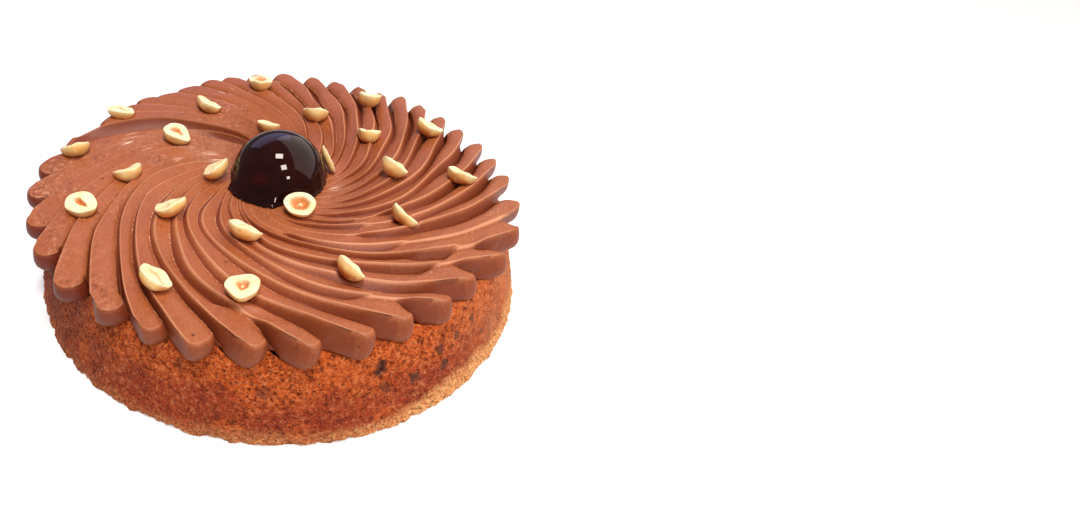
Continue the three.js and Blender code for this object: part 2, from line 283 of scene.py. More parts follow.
class Finish:
    """One procedural material."""

    def __init__(self, name):
        self.material = bpy.data.materials.new(name)
        self.material.use_nodes = True
        self.tree = self.material.node_tree
        self.tree.nodes.clear()

    def add(self, kind, settings, sockets, out=0):
        """Adds a node: its settings first, then the values or links of its sockets."""
        node = self.tree.nodes.new(kind)
        for key, value in settings.items():
            setattr(node, key, value)
        for key, value in sockets.items():
            if isinstance(value, Wire):
                self.tree.links.new(value.socket, node.inputs[key])
            else:
                node.inputs[key].default_value = value
        return Wire(self, node.outputs[out])

    def place(self):
        """Object coordinates."""
        return self.add("ShaderNodeTexCoord", {}, {}, "Object")

    def noise(self, vector, scale, detail=3.0, roughness=0.55):
        """Fractal noise about 0.5."""
        return self.add("ShaderNodeTexNoise", {}, {
            "Vector": vector, "Scale": scale, "Detail": detail, "Roughness": roughness,
        })

    def cells(self, vector, scale):
        """Distance to the nearest of one random point per cell."""
        return self.add("ShaderNodeTexVoronoi", {}, {"Vector": vector, "Scale": scale})

    def distance(self, vector, point):
        """How far the vector lies from a point."""
        return self.add("ShaderNodeVectorMath", {"operation": "DISTANCE"}, {0: vector, 1: point}, "Value")

    def stretch(self, vector, scale):
        """The vector with each part multiplied by its own number."""
        return self.add("ShaderNodeVectorMath", {"operation": "MULTIPLY"}, {0: vector, 1: scale})

    def value(self, name):
        """A number stored on the piece's points."""
        return self.add("ShaderNodeAttribute", {"attribute_name": name}, {}, "Fac")

    def bump(self, height, strength, distance):
        """Normal bent by a height in shares of the distance, in metres."""
        return self.add("ShaderNodeBump", {}, {
            "Height": height, "Strength": strength, "Distance": distance,
        })

    def surface(self, **sockets):
        """The principled shader and the output."""
        names = {key.replace("_", " "): value for key, value in sockets.items()}
        shader = self.add("ShaderNodeBsdfPrincipled", {}, names)
        output = self.tree.nodes.new("ShaderNodeOutputMaterial")
        self.tree.links.new(shader.socket, output.inputs["Surface"])
        return self.material


def laid(base, *layers):
    """A base colour with others laid over it in turn: pairs of a share and a screen colour."""
    for share, colour in layers:
        base = share.blend(base, shade(*colour))
    return base


# Pinholes in the cream, each painted as a dark spot of shade: x and y in mm.
PINHOLES = [
    (-38.7, -33.6), (-18.6, -58.1), (-74.8, -9.3), (-72.8, 1.2), (9.3, 70.2), (57.0, 62.8),
    (-25.7, -92.5),
]

# Where a faint red painted reflection shows in the glaze, in metres.
RED_REFLECTION_AT = (-0.0078, -0.0124, 0.0425)


def cream_finish():
    """Whipped milk-chocolate cream: warm brown, a soft sheen, drag lines along the strands, painted shade
    and highlights.
    """
    f = Finish("milk_chocolate_cream")
    place = f.place()
    strand = f.add("ShaderNodeUVMap", {"uv_map": "strand"}, {})
    rough_and_glints, low, raised = f.value("rough_and_glints"), f.value("low"), f.value("raised")
    edge_glints, gleam = f.value("edge_glints"), f.value("gleam")
    mottle = f.noise(place, 45.0, 3.0)
    grain = f.noise(place, 520.0, 4.0, 0.6)
    sand = f.noise(place, 1250.0, 3.0, 0.7)
    pitted = f.noise(place, 480.0, 3.0, 0.6)
    streak = f.noise(f.stretch(strand, (26.0, 9.0, 1.0)), 1.0, 3.0, 0.6)
    thread = f.noise(f.stretch(strand, (9.0, 0.7, 1.0)), 1.0, 3.0, 0.6)
    dots = f.noise(f.stretch(strand, (1.0, 17.0, 1.0)), 1.0, 2.0, 0.6)
    holes = f.cells(place, 260.0).step(0.16, 0.08) * f.noise(place, 60.0, 1.0).step(0.6, 0.72)
    base = laid(
        mottle.step(0.3, 0.7).blend(shade(158, 82, 44), shade(168, 90, 49)),
        (grain.step(0.35, 0.75) * 0.35, (138, 68, 33)),
        # Painted shade on the walls, groove floors and steep crest slopes.
        (low * 0.75, (108, 40, 20)),
        (sand.step(0.5, 0.72) * (0.3 - low * 0.22), (206, 132, 90)),
        (sand.step(0.5, 0.3) * 0.3, (112, 48, 24)),
        # Rough patches: painted glints as light streaks and specks, and painted shade in the pits.
        (rough_and_glints * streak.step(0.45, 0.7) * 0.4, (196, 128, 96)),
        (rough_and_glints * pitted.step(0.54, 0.66) * 0.45, (224, 160, 126)),
        (rough_and_glints * pitted.step(0.46, 0.34) * 0.7, (96, 42, 24)),
        (gleam * thread.step(0.53, 0.62), (252, 214, 186)),
        # Painted highlight along the raised edges and the lit upper walls.
        (raised * (0.35 + mottle * 0.5), (224, 156, 116)),
        # Painted glints in dots along the other edge of each top.
        (edge_glints * dots.step(0.52, 0.62) * 0.75, (236, 186, 150)),
        # Painted shade in the small bubble hollows.
        (holes * 0.7, (98, 46, 32)),
    )
    level = f.stretch(place, (1.0, 1.0, 0.0))
    # Painted shade: each pinhole is only a dark spot in the colour.
    for x, y in PINHOLES:
        away = f.distance(level, (x * MM, y * MM, 0.0))
        base = laid(base, (away.step(0.0007, 0.0004) * 0.8, (70, 28, 18)))
    height = streak * (rough_and_glints * 0.8 + 0.12) + grain * (rough_and_glints * 0.25 + 0.05) - holes * 0.9
    height = height + sand * 0.1 + pitted * rough_and_glints * 2.6
    gloss = 0.42 - rough_and_glints * 0.12 + mottle * 0.1 - streak * rough_and_glints * 0.12 - edge_glints * 0.1
    return f.surface(
        Base_Color=base, Roughness=gloss, Normal=f.bump(height, 0.6, 0.0007),
        Specular_IOR_Level=0.32,
    )


def glaze_finish():
    """Dark chocolate mirror glaze: almost black, very glossy, a faint red painted reflection."""
    f = Finish("mirror_glaze")
    place = f.place()
    cloud = f.noise(place, 70.0, 2.0)
    # Painted reflection: a faint red patch laid into the colour.
    red_reflection = f.distance(place, RED_REFLECTION_AT).step(0.0048, 0.0008) * cloud.step(0.2, 0.6)
    base = laid(
        cloud.step(0.35, 0.7).blend(shade(26, 7, 7), shade(40, 11, 10)),
        (red_reflection * 0.55, (96, 20, 16)),
    )
    foot = f.add("ShaderNodeSeparateXYZ", {}, {0: place}, "Z").step(0.0385, 0.0355)
    height = f.noise(place, 38.0, 1.0) * 1.8 + f.noise(place, 330.0, 1.0) * foot * 15.0
    return f.surface(
        Base_Color=base, Roughness=0.03, IOR=1.4, Specular_Tint=(0.86, 0.76, 0.73, 1.0),
        Normal=f.bump(height, 0.12, 0.0008),
    )


def nut_finish():
    """Peeled roasted hazelnut: ivory cut face, warm hollow, golden back with a few brown marks, browner
    below.
    """
    f = Finish("hazelnut")
    place = f.place()
    hollow, back, brown_below = f.value("hollow"), f.value("back"), f.value("brown_below")
    mottle = f.noise(place, 190.0, 3.0, 0.6)
    fine = f.noise(place, 900.0, 3.0, 0.6)
    face = mottle.step(0.3, 0.75).blend(shade(252, 233, 190), shade(250, 218, 156))
    side = mottle.step(0.3, 0.7).blend(shade(254, 216, 146), shade(248, 188, 104))
    marks = f.noise(place, 330.0, 2.0).step(0.68, 0.76) * back
    base = laid(
        back.blend(face, side),
        (hollow * (0.86 + mottle * 0.28), (200, 108, 24)),
        # Browner towards the bottom of the back.
        (brown_below * mottle.step(0.25, 0.55), (204, 106, 44)),
        (marks * 0.45, (150, 92, 48)),
    )
    height = mottle * 0.6 + fine * 0.35
    return f.surface(
        Base_Color=base, Roughness=0.42 + fine * 0.15, Normal=f.bump(height, 0.45, 0.0004),
        Specular_IOR_Level=0.5,
    )


def sponge_finish():
    """Baked almond sponge: red-brown crust, orange open crumb, pale ragged foot, dark chips, painted
    shade in pores.
    """
    f = Finish("almond_sponge")
    place = f.place()
    side, gold, sunlit = f.value("bearing_tone"), f.value("gold"), f.value("sunlit")
    chip, shaded_pores, worn = f.value("chip"), f.value("shaded_pores"), f.value("open_crumb")
    mottle = f.noise(place, 60.0, 3.0, 0.6)
    stain = f.noise(place, 150.0, 3.0, 0.65)
    grains = f.noise(place, 440.0, 3.0, 0.7)
    crumb = f.noise(place, 900.0, 4.0, 0.7)
    grit = f.noise(place, 2000.0, 3.0, 0.7)
    holes = f.cells(place, 860.0).step(0.34, 0.14) * f.noise(place, 170.0, 1.0).step(0.4, 0.56)
    crust = crumb.step(0.36, 0.62).blend(shade(214, 118, 60), shade(250, 188, 124))
    baked = laid(
        side.blend(shade(148, 68, 46), shade(154, 48, 22)),
        (mottle.step(0.4, 0.7) * 0.5, (178, 74, 30)),
        (stain.step(0.54, 0.7) * 0.45, (112, 38, 20)),
        (worn * (0.3 + crumb.step(0.35, 0.6) * 0.5), (222, 98, 26)),
        (crumb.step(0.5, 0.66) * (0.25 + worn * 0.2 + mottle * 0.3), (228, 136, 74)),
        (grit.step(0.54, 0.7) * 0.35, (228, 140, 84)),
        (grains.step(0.52, 0.7) * 0.4, (232, 150, 104)),
        (grains.step(0.49, 0.3) * 0.75, (84, 28, 15)),
        (sunlit * 0.6, (232, 150, 98)),
    )
    base = laid(
        gold.blend(baked, crust),
        (grit.step(0.46, 0.3) * 0.5, (92, 28, 12)),
        # Painted shade in the pores and in the small hollows.
        (shaded_pores * 0.6, (92, 28, 12)),
        (holes * 0.6, (84, 26, 12)),
        (chip * (0.55 + grit.step(0.35, 0.6) * 0.45), (46, 30, 24)),
    )
    height = crumb * 0.9 + grit * 0.35 - holes * 0.9
    return f.surface(
        Base_Color=base, Roughness=0.85 - chip * 0.2, Normal=f.bump(height, 1.0, 0.0012),
        Specular_IOR_Level=0.2,
    )


# Strand lines

def slant(r, a):
    """Turn of the strands from the outward direction, in radians.

    It is a curve in the distance from the middle, with the first two waves of the bearing.
    """
    s = (r - 59) / 38
    turn = 49 + 5 * s - 9 * s * s - 3 * np.cos(a) - 12 * np.sin(a) + 3 * np.cos(2 * a)
    return np.radians(turn)


TRACE_FIRST = 14
TRACE_COUNT = 104


def trace_middles():
    """Bearing of every strand's middle line at each whole millimetre of distance.

    Each line starts at its tip and follows the slant inwards and outwards by half-step
    midpoints: the bearing changes by tan(slant) / r for each millimetre. A slow sideways wave
    is added, which dies out at the tip.
    """
    k = np.arange(STRANDS)
    start = np.floor(TIPS[:, 1] - END_BACK + 0.5).astype(int)
    lines = np.zeros((STRANDS, TRACE_COUNT))

    def advance(r, a, dr):
        half = a + np.tan(slant(r, a)) / r * (dr / 2)
        between = r + dr / 2
        return a + np.tan(slant(between, half)) / between * dr

    lines[k, start - TRACE_FIRST] = np.radians(TIPS[:, 0])
    for n, step in product(range(TRACE_COUNT), (-1, 1)):
        i = start - TRACE_FIRST + n * step
        within = (i + step >= 0) & (i + step < TRACE_COUNT)
        some, i = k[within], i[within]
        lines[some, i + step] = advance(TRACE_FIRST + i, lines[some, i], step)
    r = TRACE_FIRST + np.arange(TRACE_COUNT)[None, :]
    away = smooth(0, 30, start[:, None] - r)
    wave = np.sin(r / (7 + 2 * uneven(k, 1))[:, None] + 6 * uneven(k, 2)[:, None])
    return lines + away * 0.012 * wave


MIDDLES = trace_middles()


def middle(k, r):
    """Bearing of strand k's middle at distance r; k may run past either end of the list."""
    turns = np.floor_divide(k, STRANDS)
    x = np.clip(r - TRACE_FIRST, 0, TRACE_COUNT - 1.001)
    i = np.floor(x).astype(int)
    line = k - turns * STRANDS
    return mix(MIDDLES[line, i], MIDDLES[line, i + 1], x - i) + 2 * np.pi * turns


def groove(k, r):
    """Bearing of the groove between strands k - 1 and k: half way between their middles."""
    return (middle(k, r) + middle(k - 1, r)) / 2


def bearing(u, r):
    """Bearing at strand coordinate u: whole numbers are grooves, and halves are middles."""
    k = np.floor(u).astype(int)
    return mix(groove(k, r), groove(k + 1, r), u - k)


def broad(k):
    """How far strand k is one of the broad ones at the left, which overlap like shingles."""
    return window(k % STRANDS, 19.5, 21.0, 26.2, 28.0)


def merged(k):
    """How far strand k is one of those at the back left, which run together towards the rim."""
    return window(k % STRANDS, 13.0, 15.0, 21.3, 22.2)


def together(k):
    """How far the two strands beside groove k run together."""
    return np.minimum(merged(k), merged(k - 1))


def crest(k, r):
    """How far strand k falls off steeply from its raised edge at distance r."""
    k = k % STRANDS
    second = (k == RIDGE_STRAND + 1) * window(r, 22, 28, 46, 58)
    return (k == RIDGE_STRAND) * smooth(24, 34, r) + second


def furrowed(k):
    """How far strand k is one of the right-hand ones, which stand between wide furrows."""
    return window((k + 6) % STRANDS, 1.0, 5.0, 19.0, 23.0)


def lip_shift(k, r):
    """How far strand k's raised edge lies past its groove line, in strands."""
    k = k % STRANDS
    front = 0.42 * window(k, 28.6, 30.4, 36.2, 38.0)
    back = -0.2 * window(k, 7.0, 9.0, 14.0, 16.0)
    drift = 0.6 * window(k, 31.5, 33.0, 36.0, 37.5) * smooth(50, 28, r)
    bend = -0.42 * window(k, 26.2, 27.8, 28.4, 29.8) * window(r, 44, 58, 62, 78)
    wave = 0.1 * np.sin(r / 11 + 6 * uneven(k, 21)) + 0.06 * np.sin(r / 4.5 + 6 * uneven(k, 23))
    wave = wave * (1 + 0.5 * window(k, 26, 28, 36, 38)) * window(r, 22, 34, 72, 94)
    return 0.06 + front + back + drift + bend + wave


def wall_share(k, r):
    """Width of the wall under strand k's raised edge, in strands."""
    k = k % STRANDS
    front = window(k, 27.0, 31.0, 37.5, 39.0)
    lens = -0.24 * (k == 37) * window(r, 30, 38, 70, 75)
    inner = mix(0.5 + 0.45 * window(k, 24, 27, 34, 38), 1.0, smooth(28, 62, r))
    furrow = 0.16 * furrowed(k) * (1 - front) * window(r, 25, 42, 84, 96)
    share = 0.2 + 0.06 * smooth(66, 88, r) + 0.17 * front + lens + furrow + 0.05 * uneven(k, 22)
    tight = 0.45 * window(k, 26, 27.5, 30.5, 32.5) * smooth(66, 90, r)
    return share * inner * (1 - 0.55 * broad(k)) * (1 - tight)


def closed(k, r, taper=3.4):
    """How far groove k is filled at distance r, from 0 to 1: a round end, and a pointed new start."""
    k = k % STRANDS
    fill = np.zeros(np.broadcast(k, r).shape)
    for line, start, end in CLOSED_GROOVES:
        filled = window(r, start - 0.8, start + 0.3, end - 0.8, end + taper)
        fill = np.maximum(fill, (k == line) * filled)
    return fill


def cream_level(r, a):
    """Height of the strands' tops: thin by the dome, full from half way out."""
    return mix(CREAM_LOW, CREAM_TOP, smooth(26 + 4 * np.sin(a), 68 + 12 * np.sin(a), r))


def strand_top(k, r):
    """Height of strand k's middle: the cream's level with each strand's own rise and wave."""
    k = k % STRANDS
    own = 0.35 * uneven(k, 11) + 0.3 * np.sin(r / 9 + 5 * uneven(k, 12))
    rise = RIDGE_RISE * (k == RIDGE_STRAND) * smooth(45, 75, r) * (1 - 1.2 * smooth(84, 103, r))
    return cream_level(r, middle(k, r)) + own * smooth(27, 42, r) + rise - 0.6 * smooth(88, 102, r)


def top_tilt(k, r):
    """How much higher a strand's raised edge is than its other edge."""
    k = k % STRANDS
    tilt = 1.25 * smooth(21, 40, r) * (1 + 0.6 * smooth(56, 78, r)) * (1 - 0.4 * smooth(88, 98, r))
    tilt = tilt * (1 + 0.6 * furrowed(k) * window(r, 24, 34, 58, 76))
    ridge = 3.0 * (k == RIDGE_STRAND) * smooth(30, 50, r) * (1 - 0.93 * smooth(86, 99, r))
    second = 2.2 * (k == RIDGE_STRAND + 1) * window(r, 22, 28, 46, 60)
    return tilt + ridge + second


def groove_floor(k, r):
    """Height of groove k's floor: deeper outwards by the power 1.5 of the distance."""
    own = k % STRANDS
    share = np.clip((r - STRAND_START) / 66, 0, 1.1)
    deep = 0.35 * (own == RIDGE_STRAND + 1) * smooth(40, 60, r)
    depth = (0.8 + 6 * share ** 1.5) * (1 + deep + 0.25 * uneven(own, 13) * smooth(25, 45, r))
    floor = cream_level(r, groove(k, r)) - depth
    return np.maximum(CREAM_BOTTOM + GROOVE_LEAST, floor)


# Cream

# Columns of one strand: groove floor, wall up to the raised edge, top, wall down again. The walls'
# columns are shares of the way up or down, and those of the top go from -1 to 1 across it.
WALL_UP = np.array([0.14, 0.4, 0.7, 0.9])
ACROSS = np.array([-1, -0.975, -0.93, -0.84, -0.66, -0.36, 0, 0.36, 0.66, 0.84, 0.94, 1])
WALL_DOWN = np.array([0.35, 0.75])
COLUMNS = 1 + len(WALL_UP) + len(ACROSS) + len(WALL_DOWN)
TOP_FROM = 1 + len(WALL_UP)
TOP_TO = TOP_FROM + len(ACROSS)
# Width of the wall down, in strands.
EDGE_SHARE = 0.05
# The wall up rises by 1 - (1 - w)**WALL_POWER.
WALL_POWER = 1.12
WALL_UP_RISE = 1 - (1 - WALL_UP) ** WALL_POWER
# Height of the bead on the raised edge, depth of the top's dish, and fall at its other edge.
BEAD = 0.12
DISH = 0.1
ROLL = 0.25

# The swirl starts with a level ring under the dome, and its rings stay round up to ROUND_TO.
# Further out they are drawn over to the strands' rounded ends, over heights taken at RIM_RADIUS.
UNDER_DOME_RADIUS = 16.5
UNDER_DOME_Z = CREAM_LOW - 0.4
ROUND_TO = 76.0
ROUND_RINGS = 71
DRAWN_RINGS = 22
RIM_RADIUS = 98.0
LEAD_SHARES = (0.2, 0.4, 0.6, 0.8, 0.92, 1.0)
UNDERSIDE_RADII = (82.0, 50.0, 20.0)

# Rounded end of a strand, from the top edge down: share of the height, growth and reach in mm.
END_RINGS = np.array([
    [1.0, -0.35, -1.1], [0.985, -0.2, -0.7], [0.955, -0.05, -0.35], [0.88, 0.1, -0.05],
    [0.74, 0.25, 0.25], [0.56, 0.4, 0.5], [0.38, 0.5, 0.55], [0.2, 0.4, 0.25], [0.08, 0.1, -0.3],
    [0.0, -0.4, -1.2],
])
END_DROOP = 0.4
# The end goes over from its own half width at the foot to the strand's by this power of the height.
END_SPREAD = 1.1

# How far inside its end a top's last drawn ring lies.
TOP_BACK = 1.5
# How far inside the notch between two ends a groove's floor comes out: where the drawn rings stop
# and at the rim. It lies a little above the cream's underside there, or below the tops where the
# strands run together.
NOTCH_BACK = 0.8
NOTCH_EDGE = 0.3
NOTCH_RISE = 0.45
JOINED_DROP = 1.6


def strand_ends():
    """Frame of each strand's rounded end: distance, bearing, turn, half width and width."""
    k = np.arange(STRANDS)
    r = TIPS[:, 1] - END_BACK
    a = np.radians(TIPS[:, 0])
    turn = a + slant(r, a)
    width = (groove(k + 1, r) - groove(k, r)) * r * np.cos(slant(r, a))
    half = mix(np.clip(width * 0.45 - 0.5, 2.8, 6.0), np.clip(width * 0.46, 2.8, 7.2), broad(k))
    half = half + 0.9 * window(k, 26.2, 27.2, 29.0, 31.0)
    return r, a, turn, half, width


END_R, END_A, END_TURN, END_HALF, END_WIDTH = strand_ends()
END_LEAN = np.sin(END_TURN - END_A)


def notch_radius():
    """Where the groove before each strand comes out at the rim."""
    before = np.roll(np.arange(STRANDS), 1)
    beside = np.minimum(END_R[before] - END_HALF[before] * END_LEAN[before] + 0.6, END_R - 1)
    return mix(beside, END_R - 1, together(np.arange(STRANDS)))


NOTCH = notch_radius()


def wall_shade(below, r=100.0):
    """Painted shade of a wall, by the distance in mm below its raised edge: sooner near the dome."""
    return smooth(0.1, mix(0.9, 1.9, smooth(30, 62, r)), below)


def strand_row(r):
    """One ring of the swirl's top: strand coordinate, height and painted shade of every column.

    r holds a distance for each strand and column. The wall rises from the groove floor, and the
    top falls from the raised edge to the other edge: evenly near the dome, by the power 1.8 of
    the way across further out, and steeply at first on a crest. The top has a shallow dish, and
    a thin bead stands on the raised edge. Where a groove is closed, its floor and both edges
    meet at one level.
    """
    k = np.arange(STRANDS)[:, None]

    def edges(line, radius):
        fill = closed(line, radius)
        raised = strand_top(line, radius) + top_tilt(line, radius) * 0.4
        before = strand_top(line - 1, radius) - top_tilt(line - 1, radius) * 0.6
        level = (raised + before) / 2
        falling = mix(smooth(71, 92, radius) ** 1.6, smooth(87, 97, radius) ** 1.6, broad(line))
        falling = mix(falling, smooth(40, 92, radius) ** 2.2, furrowed(line))
        shallow = before - mix(0.3, 7.0, falling * (1 - 0.85 * together(line)))
        floor = mix(np.maximum(groove_floor(line, radius), shallow), level, fill)
        lip = line + lip_shift(line, radius)
        wall = wall_share(line, radius) * (1 - 0.75 * closed(line, radius, 11.0))
        return lip, lip - wall, mix(raised, level, fill), floor, mix(before, level, fill), fill

    lip, floor_u, z_lip, z_floor, _, fill = edges(k, r)
    _, next_floor_u, next_z_lip, next_z_floor, z_edge, _ = edges(k + 1, r)
    edge_u = next_floor_u - EDGE_SHARE
    u = np.zeros(r.shape)
    z = np.zeros(r.shape)
    tone = np.zeros(r.shape)
    u[:, 0] = floor_u[:, 0]
    z[:, 0] = z_floor[:, 0]
    # The groove floor and both walls get painted shade by their depth below the raised edges.
    tone[:, 0] = wall_shade(z_lip - z_floor, r)[:, 0]
    up = slice(1, TOP_FROM)
    u[:, up] = mix(floor_u[:, up], lip[:, up], WALL_UP)
    z[:, up] = mix(z_floor[:, up], z_lip[:, up], WALL_UP_RISE)
    tone[:, up] = wall_shade(z_lip[:, up] - z[:, up], r[:, up])
    top = slice(TOP_FROM, TOP_TO)
    t = (ACROSS + 1) / 2
    u[:, top] = mix(lip[:, top], edge_u[:, top], t)
    bead = BEAD * np.exp(-(((ACROSS + 0.95) / 0.06) ** 2)) * (1 - fill[:, top])
    outward = smooth(55, 80, r[:, top])
    dish = DISH * (1 - ACROSS ** 2) * (1 - outward)
    dish = dish + ROLL * smooth(0.6, 1.0, ACROSS) * (1 + 1.5 * outward)
    steep = crest(k, r[:, top])
    fall = mix(mix(t, t ** 1.8, outward), 1 - (1 - t) ** 2.6, steep)
    # Painted shade down the steep fall of a crest's top.
    tone[:, top] = steep * window(t, 0.02, 0.1, 0.5, mix(0.7, 0.95, outward))
    z[:, top] = mix(z_lip[:, top], z_edge[:, top], fall) + (bead - dish) * smooth(24, 45, r[:, top])
    down = slice(TOP_TO, COLUMNS)
    u[:, down] = mix(edge_u[:, down], next_floor_u[:, down], WALL_DOWN)
    last = z[:, TOP_TO - 1:TOP_TO]
    z[:, down] = mix(last, np.minimum(next_z_floor[:, down], last), WALL_DOWN)
    tone[:, down] = wall_shade(next_z_lip[:, down] - z[:, down], r[:, down]) * WALL_DOWN
    return u, z, tone


def polar(a, r, z):
    """Points from bearings, distances and heights."""
    return np.stack([r * np.cos(a), r * np.sin(a), z], -1)


def end_points(x, y, z):
    """Points in the strands' end frames: x across and y along each strand, from its end."""
    a, r, turn = END_A[:, None], END_R[:, None], END_TURN[:, None]
    return np.stack([
        r * np.cos(a) + y * np.cos(turn) - x * np.sin(turn),
        r * np.sin(a) + y * np.sin(turn) + x * np.cos(turn),
        z,
    ], -1)


def in_end_frame(points):
    """How far points lie across and along their strand, from its end."""
    a, r, turn = END_A[:, None], END_R[:, None], END_TURN[:, None]
    dx = points[..., 0] - r * np.cos(a)
    dy = points[..., 1] - r * np.sin(a)
    return dy * np.cos(turn) - dx * np.sin(turn), dx * np.cos(turn) + dy * np.sin(turn)


def join_radii():
    """Distance where each column reaches its strand's rounded end, and the top's edges there."""
    k = np.arange(STRANDS)
    lip = (lip_shift(k, END_R) - 0.5) * END_WIDTH
    after = lip_shift(k + 1, END_R) - wall_share(k + 1, END_R) - EDGE_SHARE
    edge = (after + 0.5) * END_WIDTH
    x = mix(lip[:, None], edge[:, None], (ACROSS + 1) / 2)
    radii = np.zeros((STRANDS, COLUMNS))
    radii[:, TOP_FROM:TOP_TO] = END_R[:, None] - x * (END_LEAN * (1 - merged(k)))[:, None] - TOP_BACK
    radii[:, 0] = NOTCH - NOTCH_BACK
    first = radii[:, TOP_FROM]
    last = radii[:, TOP_TO - 1]
    radii[:, 1:TOP_FROM] = mix(radii[:, :1], first[:, None], WALL_UP)
    following = np.roll(NOTCH, -1) - NOTCH_BACK
    radii[:, TOP_TO:] = mix(last[:, None], following[:, None], WALL_DOWN)
    return radii, lip, edge


def nut_frame(row):
    """Turn matrix of a nut: spun to its point's bearing, then tipped the way that it leans."""
    point, tilt, lean = (math.radians(v) for v in row[6:9])
    spin = Matrix.Rotation(point, 3, "Z")
    tip = Matrix.Rotation(tilt, 3, Vector((-math.sin(lean), math.cos(lean), 0)))
    return np.array(tip @ spin)


NUT_CLEARANCE = 0.15


def press_nuts(points):
    """Lowers the points that lie inside a nut, grown a little, to just under it.

    A nut counts as an ellipsoid, and the drop is the root of its quadratic straight down.
    """
    for row in NUTS:
        turn = nut_frame(row)
        x, y, z, length, width, thickness = row[:6]
        centre = np.array([x, y, z]) + turn @ np.array([0, 0, 0.35 * thickness])
        radii = np.array([length / 2, width / 2, thickness]) + NUT_CLEARANCE
        q = (points - centre) @ turn / radii
        d = (np.array([0.0, 0.0, -1.0]) @ turn) / radii
        inside = (q ** 2).sum(-1) < 1
        near = q[inside]
        b = near @ d
        c = (near ** 2).sum(-1) - 1
        a = d @ d
        drop = (-b + np.sqrt(b * b - a * c)) / a
        points[inside, 2] = np.maximum(points[inside, 2] - drop, CREAM_BOTTOM + HOLLOW_LEAST)
    return points


def end_outline():
    """How far each strand's rounded end stands out at every column, and how far it is sheared.

    The outline is (1 - d**p)**(1/p), with d the distance from its apex as a share of that side.
    Ends at the back are pointed, those at the left broad, and those that run together flat.
    """
    k = np.arange(STRANDS)[:, None]
    pointed = window(k, -1, 0.5, 9, 13) + window(k, 36.5, 38, 40, 41)
    power = mix(mix(2.6, 1.45, pointed), 2.1, broad(k))
    reach = mix(mix(4.9, 5.8, broad(k)), 2.2, merged(k))
    apex = -0.4 * pointed
    beside = np.where(ACROSS < apex, (apex - ACROSS) / (1 + apex), (ACROSS - apex) / (1 - apex))
    shear = 0.85 * merged(k) * np.tan(np.arcsin(END_LEAN))[:, None]
    return (1 - beside ** power) ** (1 / power) * reach, shear


